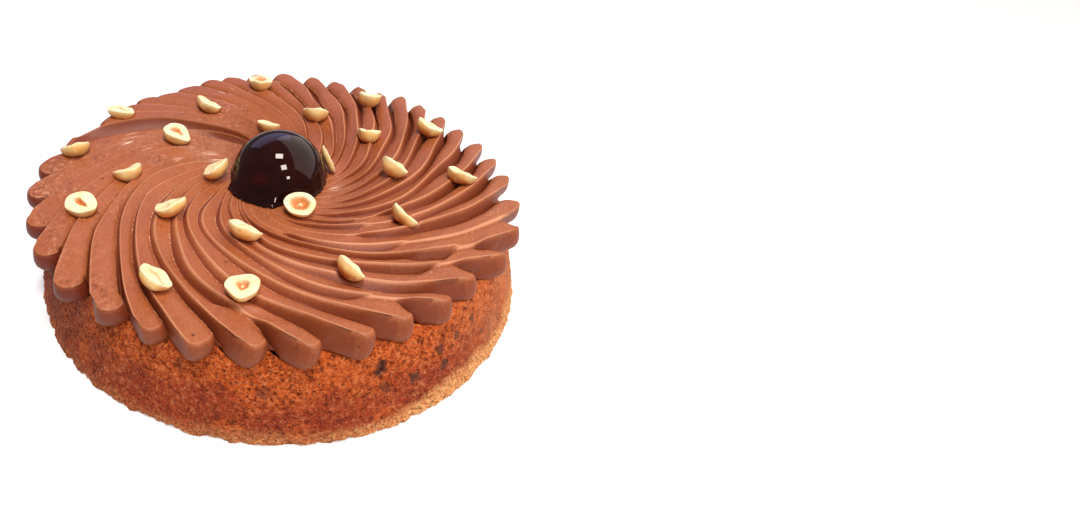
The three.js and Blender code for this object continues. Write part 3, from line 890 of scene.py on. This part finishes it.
def chocolate_swirl(material):
    """The piped cream: rings of 39 strands out to the rim, down the rounded ends and back under."""
    k = np.arange(STRANDS)[:, None]
    rows, strands_u, radii, painted_shades = [], [], [], []

    def put(points, u, r, tone):
        rows.append(points.reshape(-1, 3))
        strands_u.append(u.ravel())
        radii.append(np.broadcast_to(r, u.shape).ravel())
        painted_shades.append(np.broadcast_to(tone, u.shape).ravel())

    def put_level(u, r, z):
        """A level ring at one distance."""
        put(polar(bearing(u, np.full(u.shape, r)), r, np.full(u.shape, z)), u, r, 0)

    def all_columns(r):
        return np.full((STRANDS, COLUMNS), r)

    put_level(strand_row(all_columns(STRAND_START))[0], UNDER_DOME_RADIUS, UNDER_DOME_Z)
    for distance in np.linspace(STRAND_START, ROUND_TO, ROUND_RINGS):
        radius = all_columns(distance)
        u, z, tone = strand_row(radius)
        put(polar(bearing(u, radius), radius, z), u, radius, tone)

    joins, lip_x, edge_x = join_radii()
    rim_z = strand_row(all_columns(RIM_RADIUS))[1][:, TOP_FROM:TOP_TO] - END_DROOP
    outline, shear = end_outline()

    def end_ring(height, grow, reach):
        """One ring round the ends: each end's outline, grown and moved out at this height."""
        top_x = mix(lip_x[:, None], edge_x[:, None], (ACROSS + 1) / 2) + ACROSS * grow
        x = mix(ACROSS * (END_HALF[:, None] + grow), top_x, height ** END_SPREAD)
        return end_points(x, outline + reach + shear * x, mix(CREAM_BOTTOM, rim_z, height))

    def wall_side(z):
        """How far across the side of the rounded end lies at this height."""
        height = np.clip((z - CREAM_BOTTOM) / (rim_z[:, :1] - CREAM_BOTTOM), 0, 1)
        grow = np.interp(height, END_RINGS[::-1, 0], END_RINGS[::-1, 1])
        return mix(-(END_HALF[:, None] + grow), lip_x[:, None] - grow, height ** END_SPREAD)

    def free_wall(points):
        """Draws the walls up over to the side of the rounded end, fully in their last 4 mm.

        Walls between strands that run together stay.
        """
        across, along = in_end_frame(points[:, 1:TOP_FROM])
        z = points[:, 1:TOP_FROM, 2]
        pull = smooth(-15, -4, along) * window(WALL_UP, 0.0, 0.4, 0.9, 1.3) * (1 - together(k))
        points[:, 1:TOP_FROM] = end_points(mix(across, wall_side(z), pull), along, z)
        return points

    for share in np.linspace(0, 1, DRAWN_RINGS + 1)[1:]:
        radius = mix(ROUND_TO, joins, share)
        u, z, tone = strand_row(radius)
        put(free_wall(polar(bearing(u, radius), radius, z)), u, radius, tone)
    join = rows[-1].reshape(STRANDS, COLUMNS, 3)
    join_u = u
    rise = np.maximum(join[:, TOP_FROM:TOP_FROM + 1, 2] - join[:, :1, 2], 0.5)
    join_profile = (join[:, 1:TOP_FROM, 2] - join[:, :1, 2]) / rise

    def full_ring(top, floor_r, floor_z, top_shade, profile=WALL_UP_RISE):
        """A ring round the ends, with its walls and groove floors fitted to the given tops."""
        ring = np.zeros((STRANDS, COLUMNS, 3))
        floor_a = bearing(join_u[:, :1], floor_r[:, None])
        floor = polar(floor_a, floor_r[:, None], floor_z[:, None])
        ring[:, :1] = floor
        ring[:, TOP_FROM:TOP_TO] = top
        start, end = in_end_frame(floor), in_end_frame(top[:, :1])
        ring[:, 1:TOP_FROM] = end_points(
            mix(start[0], end[0], WALL_UP),
            mix(start[1], end[1], WALL_UP),
            mix(floor[:, :, 2], top[:, :1, 2], profile),
        )
        ring = free_wall(ring)
        ring[:, TOP_TO:] = mix(top[:, -1:], np.roll(floor, -1, axis=0), WALL_DOWN[:, None])
        crown = np.maximum(ring[:, TOP_FROM:TOP_FROM + 1, 2], rim_z[:, :1] + END_DROOP)
        # Painted shade deepens down from the crown, and is scaled on the tops.
        tone = wall_shade(crown - ring[..., 2])
        tone[:, TOP_FROM:TOP_TO] *= top_shade
        put(ring, join_u, np.hypot(ring[..., 0], ring[..., 1]), tone)

    joined = together(k[:, 0])
    joined_z = rim_z[:, 0] - JOINED_DROP
    top_edge = end_ring(*END_RINGS[0])
    for share in LEAD_SHARES:
        top = mix(join[:, TOP_FROM:TOP_TO], top_edge, share)
        top[..., 2] = mix(join[:, TOP_FROM:TOP_TO, 2], top_edge[..., 2], share ** 1.6)
        floor_z = mix(join[:, 0, 2], mix(CREAM_BOTTOM + NOTCH_RISE, joined_z, joined), share)
        profile = mix(join_profile, WALL_UP_RISE, share)
        full_ring(top, NOTCH - mix(NOTCH_BACK, NOTCH_EDGE, share), floor_z, 0, profile)
    for height, grow, reach in END_RINGS[1:]:
        floor_z = CREAM_BOTTOM + NOTCH_RISE * smooth(0, 0.9, height)
        floor_z = mix(floor_z, mix(CREAM_BOTTOM, joined_z, height), joined)
        floor_r = NOTCH - NOTCH_EDGE * height
        # The rounded ends get painted shade lower down, deeper on the broad ones at the left.
        full_ring(end_ring(height, grow, reach), floor_r, floor_z, 0.75 + 0.6 * broad(k))
    for distance in UNDERSIDE_RADII:
        put_level(join_u, distance, CREAM_BOTTOM)

    rings, u, r = np.stack(rows), np.stack(strands_u), np.stack(radii)
    top_rows = len(rows) - len(UNDERSIDE_RADII)
    body = rings[1:top_rows]
    ripple = 0.10 * lumps(body, 7.0, 1) + 0.05 * lumps(body, 2.6, 2)
    body[..., 2] += ripple * smooth(31, 33, body[..., 2])
    pressed = press_nuts(rings[:top_rows].reshape(-1, 3))
    rings[:top_rows] = pressed.reshape(rings[:top_rows].shape)
    uv = np.stack([u, r / 10], -1)
    uv = np.concatenate([uv, uv[:, :1] + [STRANDS, 0]], 1)
    piece = ringed(
        "chocolate_cream_swirl", rings, [0, 0, UNDER_DOME_Z], [0, 0, CREAM_BOTTOM], material, uv,
    )
    tone = np.stack(painted_shades)
    # Painted shade of walls, groove floors and crest slopes, for the cream's colour.
    store(piece, "low", tone)
    store_edges(piece, u, r, tone)
    store_patches(piece, rings, u, r)
    return piece


# Share of the way across a strand of every column: -1 and 1 are the edges of its top.
COLUMN_ACROSS = np.concatenate([[-1.6], -1 - 0.5 * (1 - WALL_UP), ACROSS, 1 + 0.5 * WALL_DOWN])
# Painted shade of a wall up to which it still counts as the lit edge.
EDGE_SHADE = 0.12


def store_edges(piece, u, r, tone):
    """Where painted highlights lie along the raised edges, and painted dots of light along the other
    edges.
    """
    under = len(u) - len(UNDERSIDE_RADII)
    ends = slice(under - len(END_RINGS), under)
    own = np.repeat(np.arange(STRANDS), COLUMNS)
    walls = np.tile(COLUMN_ACROSS <= -1, STRANDS)
    lit = 1 - smooth(0.0, EDGE_SHADE, tone)
    on_edge = np.tile(1 - smooth(-0.98, -0.86, COLUMN_ACROSS), STRANDS)
    # Painted highlight: on the lit upper part of the walls and rounded ends, and along each raised edge.
    raised = np.where(walls, lit, on_edge)
    raised[ends] = 0.8 * lit[ends]
    before = np.maximum(0.25, raised[ends.start - 1])
    raised[ends.start] = np.where(walls, raised[ends.start], before)
    raised[under:] = 0
    near_dome = mix(0.4 + 0.45 * window(u, 24, 27, 33, 36), 1.0, smooth(32, 56, r))
    raised *= near_dome * (1 - np.minimum(0.6 * merged(own) + 0.5 * broad(own), 0.7))
    # Painted glints along the other edge of each top.
    edge_glints = np.tile(window(COLUMN_ACROSS, 0.86, 0.97, 1.0, 1.12), STRANDS) * np.ones(u.shape)
    edge_glints[ends.start + 3:] = 0
    store(piece, "raised", raised)
    store(piece, "edge_glints", edge_glints * (1 - broad(own)))


# Rough patches on the strands' tops, with painted glints and painted shade in their pits: how strong,
# and where each rises and fades, first counted in strands and then in distance from the middle.
ROUGH_GLINT_PATCHES = [
    (0.6, (15.5, 16.5, 19.5, 20.5), (42, 50, 72, 85)),
    (0.6, (36.9, 37.3, 38.2, 38.6), (66, 69, 73, 76)),
    (0.6, (37.9, 38.3, 38.7, 39.0), (84, 87, 93, 96)),
    (0.5, (35.4, 35.7, 36.2, 36.5), (78, 80, 84, 86)),
    (0.5, (3.5, 4.5, 6.5, 7.5), (24, 27, 38, 44)),
]

# Strokes of gleam: how strong, and where each rises and fades, in bearing and in distance.
GLEAMS = [
    (1.0, (154, 158, 163, 167), (60, 64, 74, 80)),
    (1.0, (144, 149, 166, 171), (28, 33, 46, 52)),
    (0.6, (100, 104, 113, 117), (78, 81, 85, 88)),
    (0.6, (307, 311, 318, 322), (30, 34, 46, 52)),
    (0.5, (340, 346, 358, 360), (21, 23, 27, 30)),
]


def store_patches(piece, rings, u, r):
    """Where the strands' tops are roughened, with painted glints and shade, and where they gleam, both
    broken up by slow noise.
    """
    on_top = np.tile(np.abs(COLUMN_ACROSS) < 0.99, STRANDS)
    at = np.degrees(np.arctan2(rings[..., 1], rings[..., 0])) % 360
    left = 0.95 * window(u, 21.8, 22.5, 27.3, 28.2) * (1 - 0.5 * window(r, 55, 62, 92, 97))
    rough_and_glints = left + sum(power * window(u, *a) * window(r, *b) for power, a, b in ROUGH_GLINT_PATCHES)
    rough_and_glints = rough_and_glints * np.clip(0.6 + 0.9 * lumps(rings, 9.0, 3), 0, 1) * on_top
    rough_and_glints[len(u) - len(UNDERSIDE_RADII) - len(END_RINGS) + 2:] = 0
    gleam = sum(power * window(at, *a) * window(r, *b) for power, a, b in GLEAMS)
    gleam = gleam * np.clip(0.5 + 1.4 * lumps(rings, 6.0, 19), 0, 1) * on_top
    store(piece, "rough_and_glints", np.clip(rough_and_glints, 0, 1))
    store(piece, "gleam", np.clip(gleam, 0, 1))


# Dome

def foot_reach(degrees):
    """How far the glaze has run out at the foot of the dome, by bearing."""
    spread = window(degrees, 196, 208, 262, 277)
    ripple = 0.2 * np.sin(np.radians(7 * degrees)) + 0.18 * np.sin(np.radians(23 * degrees + 40))
    return 21.3 + 3 * spread + ripple


def glazed_dome(material):
    """A ball's upper half whose flank runs out softly into a pooled foot with a rounded lip.

    Below FLARE_TOP the distance grows by the foot's extra reach times the share of the way down
    to the power 1.7. Small drips run round the foot's edge, by the fourth power of that.
    """
    degrees = np.arange(DOME_COLUMNS) * 360 / DOME_COLUMNS
    a = np.radians(degrees)
    reach = foot_reach(degrees)
    drips = 0.2 * np.sin(51 * a + 2 * np.sin(5 * a)) * (0.6 + 0.4 * np.sin(13 * a))
    rings = []

    def ring(radius, z):
        radius = np.broadcast_to(radius, a.shape)
        z = np.broadcast_to(z, a.shape)
        share = np.clip((FLARE_TOP - z) / (FLARE_TOP - DOME_BOTTOM), 0, 1) ** 1.7
        radius = radius + share * (reach - DOME_RADIUS) + share ** 4 * drips
        rings.append(polar(a, radius, z) + [DOME_X, DOME_Y, 0])

    for phi in np.radians(np.linspace(2.5, 87, 52)):
        z = DOME_Z + DOME_RADIUS * np.cos(phi)
        ring(DOME_RADIUS * np.sin(phi), np.maximum(z, DOME_BOTTOM + 0.9))
    for turn in np.radians([25, 50, 75, 100, 130]):
        ring(DOME_RADIUS - 0.35 + 0.35 * np.sin(turn), DOME_BOTTOM + 0.2 + 0.55 * np.cos(turn))
    ring(DOME_RADIUS - 0.6, DOME_BOTTOM - 0.35)
    first = [DOME_X, DOME_Y, DOME_Z + DOME_RADIUS]
    last = [DOME_X, DOME_Y, DOME_BOTTOM - 0.35]
    return ringed("mirror_glazed_dome", np.stack(rings), first, last, material)


# Hazelnuts

# Looks of each nut: half length and half width of the hollow in shares of the nut's, its place
# along the nut, its depth in shares of the thickness, how brown it is and how much browner the back
# is towards the bottom.
NUT_LOOKS = np.array([
    [0.6, 0.4, 0.0, 0.3, 1.0, 0.2], [0.4, 0.3, 0.0, 0.15, 0.3, 0.3], [0.5, 0.1, 0.0, 0.12, 0.2, 0.9],
    [0.4, 0.3, 0.0, 0.15, 0.4, 0.5], [0.4, 0.14, 0.1, 0.25, 0.9, 0.1], [0.55, 0.12, 0.0, 0.2, 0.4, 0.8],
    [0.3, 0.2, 0.0, 0.1, 0.1, 0.1], [0.4, 0.3, 0.0, 0.15, 0.2, 0.3], [0.46, 0.26, -0.08, 0.3, 0.9, 0.2],
    [0.4, 0.3, 0.0, 0.15, 0.2, 0.15], [0.4, 0.3, 0.0, 0.15, 0.2, 0.3], [0.16, 0.14, 0.45, 0.4, 1.0, 0.3],
    [0.4, 0.3, 0.0, 0.2, 0.2, 0.1], [0.4, 0.3, 0.0, 0.15, 0.2, 0.4], [0.5, 0.2, 0.0, 0.15, 0.2, 0.9],
    [0.46, 0.19, 0.0, 0.32, 1.0, 0.2], [0.5, 0.2, -0.1, 0.2, 0.5, 0.5], [0.56, 0.52, 0.0, 0.26, 1.0, 0.2],
    [0.62, 0.11, 0.0, 0.4, 0.7, 0.4], [0.5, 0.14, 0.0, 0.25, 0.4, 1.0], [0.7, 0.14, 0.0, 0.42, 0.6, 0.1],
    [0.36, 0.34, 0.05, 0.22, 0.9, 0.2], [0.62, 0.14, 0.0, 0.4, 0.6, 1.0],
])
NUT_COLUMNS = 48
# Rings over a nut's edge, as shares of the outline and of the thickness, and on its cut face.
NUT_EDGE = np.array([[1.0, -0.06], [0.995, -0.01], [0.97, 0.02], [0.93, 0.03], [0.88, 0.025]])
NUT_FACE = np.linspace(0.82, 0.05, 18)


def hazelnut(index, material):
    """Half a hazelnut: a rounded back, a cut face with a rounded edge, and its own hollow.

    Each ring is the outline times a share. The outline is an ellipse, drawn out to a blunt
    point at the front, narrower towards it, with slow uneven waves. The back follows a quarter
    circle from its pole to the edge; the face dips by a soft step inside the hollow's ellipse,
    and a wide brown hollow has a small rise in its middle.
    """
    row = NUTS[index]
    length, width, thickness = row[3:6]
    hollow_length, hollow_width, hollow_at, hollow_depth, brown, underside_brown = NUT_LOOKS[index]
    a = 2 * np.pi * np.arange(NUT_COLUMNS) / NUT_COLUMNS
    phi = np.radians(np.linspace(8, 84, 13))
    share = np.concatenate([np.sin(phi) ** 0.9, NUT_EDGE[:, 0], NUT_FACE])[:, None]
    height = np.concatenate([-np.cos(phi), NUT_EDGE[:, 1], np.full(len(NUT_FACE), 0.02)])[:, None]

    def wave(size, count, swing, seed):
        return size * np.sin(count * a + swing * uneven(index, seed))

    outline = 1 + wave(0.04, 2, 3, 31) + wave(0.03, 3, 3, 32) + wave(0.015, 5, 3, 37)
    dent_at = np.pi + 1.4 * uneven(index, 33)
    dent = 1 - 0.1 * max(0.0, float(uneven(index, 34))) * np.exp(-(((a - dent_at) / 0.3) ** 2))
    front, rear = np.maximum(0, np.cos(a)), np.maximum(0, -np.cos(a))
    px = share * length / 2 * np.cos(a) * (0.95 + 0.1 * front ** 6 - 0.03 * rear) * outline * dent
    py = share * width / 2 * np.sin(a) * (1 - 0.1 * np.cos(a)) * outline * dent
    rim_wave = wave(0.05, 2, 5, 35) + wave(0.03, 5, 4, 36)
    across = share * np.cos(a) - hollow_at
    inward = np.hypot(across / hollow_length, share * np.sin(a) / hollow_width)
    on_face = (np.arange(len(share)) >= len(share) - len(NUT_FACE))[:, None]
    inside = (1 - smooth(0.6, 1.2, inward)) * on_face
    wide = smooth(0.2, 0.4, hollow_width)
    dip = hollow_depth * inside - 0.12 * wide * brown * (1 - smooth(0.1, 0.4, inward)) * on_face
    pz = (height - dip + rim_wave * smooth(-0.5, 0.0, height) + 0.4) * thickness
    local = np.stack([px, py, pz], -1)
    seed = 40 + index
    bumps = 0.24 * lumps(local + 30, 3.6, seed) + 0.1 * lumps(local + 30, 1.4, seed)
    bumps = bumps[..., None] * np.array([0.6, 0.6, 1.0])
    local = local + bumps * smooth(0.05, 0.3, share)[..., None]
    turn = nut_frame(row)
    rings = (local @ turn.T + row[:3])[::-1]
    first = turn @ local[-1].mean(0) + row[:3]
    last = turn @ np.array([0, 0, -0.6 * thickness]) + row[:3]
    piece = ringed(f"hazelnut_half_{index + 1:02d}", rings, first, last, material)

    def store_rings(name, values, at_face, at_back):
        grid = np.broadcast_to(values, (len(share), NUT_COLUMNS))
        store(piece, name, grid[::-1], at_face, at_back)

    ring_of_brown = window(inward, 0.05 * wide, 0.4 * wide + 0.01, 0.6, 1.6) * on_face
    store_rings("hollow", brown * ring_of_brown, brown * (1 - 0.9 * wide), 0)
    store_rings("back", 1 - smooth(-0.25, 0.0, height), 0, 1)
    store_rings("brown_below", underside_brown * (1 - smooth(-0.8, -0.25, height)) * (1 - on_face), 0, underside_brown)
    return piece


# Sponge

# Dark chocolate pieces baked into the side: bearing, height, size and darkness.
CHIPS = [
    (290.5, 23.5, 5.2, 1.0), (291.2, 16.8, 3.4, 0.6), (298.0, 15.8, 3.8, 0.95),
    (305.8, 14.5, 3.8, 0.9), (305.0, 21.0, 3.6, 0.85), (309.8, 22.2, 3.2, 0.8),
    (315.8, 23.0, 2.8, 0.7), (319.0, 14.2, 2.6, 0.6), (267.8, 20.0, 3.4, 0.6),
    (251.5, 24.5, 4.0, 0.45),
]
SPONGE_COLUMNS = 1440


def financier_sponge(material):
    """The sponge: a sloping side worn by open crumb, with a ragged pale foot.

    The side moves in by pores of two sizes and in and out by slow noise. The foot's edge is
    rounded and waves in and out.
    """
    a = 2 * np.pi * np.arange(SPONGE_COLUMNS) / SPONGE_COLUMNS
    side_z = np.linspace(1.1, SPONGE_HEIGHT - 1.4, 56)
    z = np.concatenate([[0.0, 0.12, 0.45], side_z, [SPONGE_HEIGHT - 0.5, SPONGE_HEIGHT]])[::-1]
    inset = np.concatenate([[2.4, 1.0, 0.3], np.zeros(len(side_z)), [0.5, 1.6]])[::-1]
    z = np.broadcast_to(z[:, None], (len(z), SPONGE_COLUMNS)).copy()
    a = np.broadcast_to(a, z.shape)
    r = mix(SPONGE_FOOT_RADIUS, SPONGE_TOP_RADIUS, z / SPONGE_HEIGHT) - inset[:, None]
    r = r + 0.5 * np.sin(3 * a + 1) - 0.3
    points = polar(a, r, z)
    degrees = (np.degrees(a) - 180) % 360 + 180

    worn = window(degrees, 222, 245, 350, 372) * smooth(13, 24, z + 5 * lumps(points, 9.0, 9))
    worn = np.clip(worn + 0.5 * smooth(0.2, 0.6, lumps(points, 7.0, 16)), 0, 1)
    foot_band = 3.0 + 2.4 * lumps(points, 8.0, 14) + 3.6 * window(degrees, 285, 315, 350, 368)
    round_foot = 0.18 + 0.3 * window(degrees, 235, 255, 300, 310) + window(degrees, 278, 306, 362, 390)
    gold = (1 - smooth(foot_band - 1.6, foot_band + 3.6, z)) * np.clip(round_foot, 0, 1)

    slow = 0.4 * lumps(points, 14.0, 5) + 0.25 * lumps(points, 5.0, 6)
    coarse = 1 - smooth(0.14, 0.36, pores(points, 2.5, 7))
    coarse = coarse * np.clip(0.25 + worn + 0.4 * gold, 0, 1)
    fine = 1 - smooth(0.15, 0.42, pores(points, 1.25, 8))
    fine = fine * np.clip(0.55 + 0.9 * lumps(points, 6.0, 10), 0, 1)
    crumb = 0.22 * lumps(points, 1.6, 11) + 0.16 * lumps(points, 0.9, 17)
    on_side = (z > 0.3) & (z < SPONGE_HEIGHT - 0.2)
    r = r + (slow + crumb - 0.9 * coarse - 0.45 * fine) * on_side
    ragged = np.clip(lumps(points, 3.2, 12) + 0.6 * lumps(points, 1.4, 18), -0.4, 1)
    r = r - 0.9 * (ragged * (1 - smooth(0.6, 3.2, z)))
    piece = ringed(
        "almond_sponge_round", polar(a, r, z), [0, 0, SPONGE_HEIGHT], [0, 0, 0.0], material,
    )

    chip = np.zeros(z.shape)
    for at, height, size, dark in CHIPS:
        across = np.radians((degrees - at + 180) % 360 - 180) * r
        d = np.hypot(across, z - height) + 1.3 * lumps(points, 1.6, 15)
        chip = np.maximum(chip, dark * (1 - smooth(0.3 * size, 0.66 * size, d)))
    tone = window(degrees, 212, 250, 390, 440) + 0.25 * lumps(points, 16.0, 13)
    sunlit = window(degrees, 300, 345, 370, 410) * (0.8 + 0.6 * lumps(points, 12.0, 21))
    store(piece, "bearing_tone", np.clip(tone, 0, 1))
    store(piece, "gold", gold)
    store(piece, "sunlit", np.clip(sunlit, 0, 1))
    store(piece, "chip", chip)
    store(piece, "open_crumb", worn)
    # Painted shade for the pores cut into the side.
    store(piece, "shaded_pores", np.clip(coarse * 0.9 + 0.5 * fine, 0, 1))
    return piece


# Put together

cream_material = cream_finish()
glaze_material = glaze_finish()
nut_material = nut_finish()
sponge_material = sponge_finish()

swirl = chocolate_swirl(cream_material)
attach(swirl, "root")
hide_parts("chocolate_swirl")

dome = glazed_dome(glaze_material)
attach(dome, "root")
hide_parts("glazed_dome")

sponge = financier_sponge(sponge_material)
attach(sponge, "root")
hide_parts("financier_sponge")

for index in range(len(NUTS)):
    nut = hazelnut(index, nut_material)
    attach(nut, "root")
    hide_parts(f"hazelnut_{index + 1:02d}")


# Floor, light and camera

def floor_finish():
    """Plain white studio floor."""
    f = Finish("pale_floor")
    return f.surface(Base_Color=(0.94, 0.94, 0.935, 1), Roughness=0.7)


def floor():
    """A flat sheet under the cake, 12 m wide."""
    corners = 6000.0 * np.array([[-1, -1, 0], [1, -1, 0], [1, 1, 0], [-1, 1, 0]])
    sheet = piece_from("studio_floor", corners, [[0, 1, 2, 3]], floor_finish(), None, False)


LAMP_AIM_Z = 40.0


def lamp(name, towards, distance, size, power, colour):
    """A rectangular area light, distance mm from the middle of the cake's top, facing it.

    towards is the direction to the light as bearing and elevation in degrees.
    """
    az, el = np.radians(towards)
    way = Vector((math.cos(az) * math.cos(el), math.sin(az) * math.cos(el), math.sin(el)))
    data = bpy.data.lights.new(name, "AREA")
    data.shape = "RECTANGLE"
    data.size, data.size_y = size[0] * MM, size[1] * MM
    data.energy = power
    data.color = colour
    light = bpy.data.objects.new(name, data)
    light.location = Vector((0, 0, LAMP_AIM_Z * MM)) + way * distance * MM
    light.rotation_mode = "QUATERNION"
    light.rotation_quaternion = way.to_track_quat("Z", "Y")
    bpy.context.scene.collection.objects.link(light)


def lights():
    """A soft window at the back right, three ceiling panels and a cool window at the back left."""
    lamp("window_right", (30, 38), 1300, (2600, 1450), 14.4, (1.0, 0.95, 0.88))
    panel_white = (1.0, 0.98, 0.95)
    lamp("panel_over", (270, 84), 1000, (270, 200), 6.2, panel_white)
    lamp("panel_front", (290, 56), 1000, (210, 190), 4.4, panel_white)
    lamp("panel_low", (296, 31), 1000, (120, 95), 1.4, panel_white)
    lamp("window_left", (106, 34), 900, (900, 480), 1.8, (0.5, 0.52, 1.0))
    world = bpy.data.worlds.new("studio")
    world.use_nodes = True
    background = world.node_tree.nodes["Background"]
    background.inputs["Color"].default_value = (1.0, 0.985, 0.96, 1)
    background.inputs["Strength"].default_value = 0.16
    bpy.context.scene.world = world
    bpy.context.scene.view_settings.view_transform = "Standard"


# The photograph's camera, solved from the cake: focal length and image middle in its pixels,
# height angle, roll, distance and aim.
PHOTO_WIDTH, PHOTO_HEIGHT = 1080.0, 529.0
FOCAL = 550.0
MIDDLE_X, MIDDLE_Y = 276.23, 255.19
ELEVATION, ROLL = 41.623, 1.654
DISTANCE = 264.7
AIM_X, AIM_Y = 0.944, 7.326


def camera():
    """Looks down along +Y at the photograph's angle, with the image middle moved as framed."""
    el, roll = math.radians(ELEVATION), math.radians(ROLL)
    back = Vector((0, -math.cos(el), math.sin(el)))
    level = Vector((1, 0, 0))
    rise = back.cross(level)
    right = math.cos(roll) * level + math.sin(roll) * rise
    up = -math.sin(roll) * level + math.cos(roll) * rise
    place = (back * DISTANCE - right * AIM_X - up * AIM_Y) * MM
    data = bpy.data.cameras.new("photo_camera")
    data.sensor_fit = "HORIZONTAL"
    data.lens = FOCAL / PHOTO_WIDTH * data.sensor_width
    data.shift_x = (PHOTO_WIDTH / 2 - MIDDLE_X) / PHOTO_WIDTH
    data.shift_y = (MIDDLE_Y - PHOTO_HEIGHT / 2) / PHOTO_WIDTH
    data.clip_start, data.clip_end = 0.01, 50.0
    view = bpy.data.objects.new("photo_camera", data)
    view.matrix_world = Matrix(((*right, 0), (*up, 0), (*back, 0), (*place, 1))).transposed()
    bpy.context.scene.collection.objects.link(view)
    bpy.context.scene.camera = view


floor()
lights()
camera()
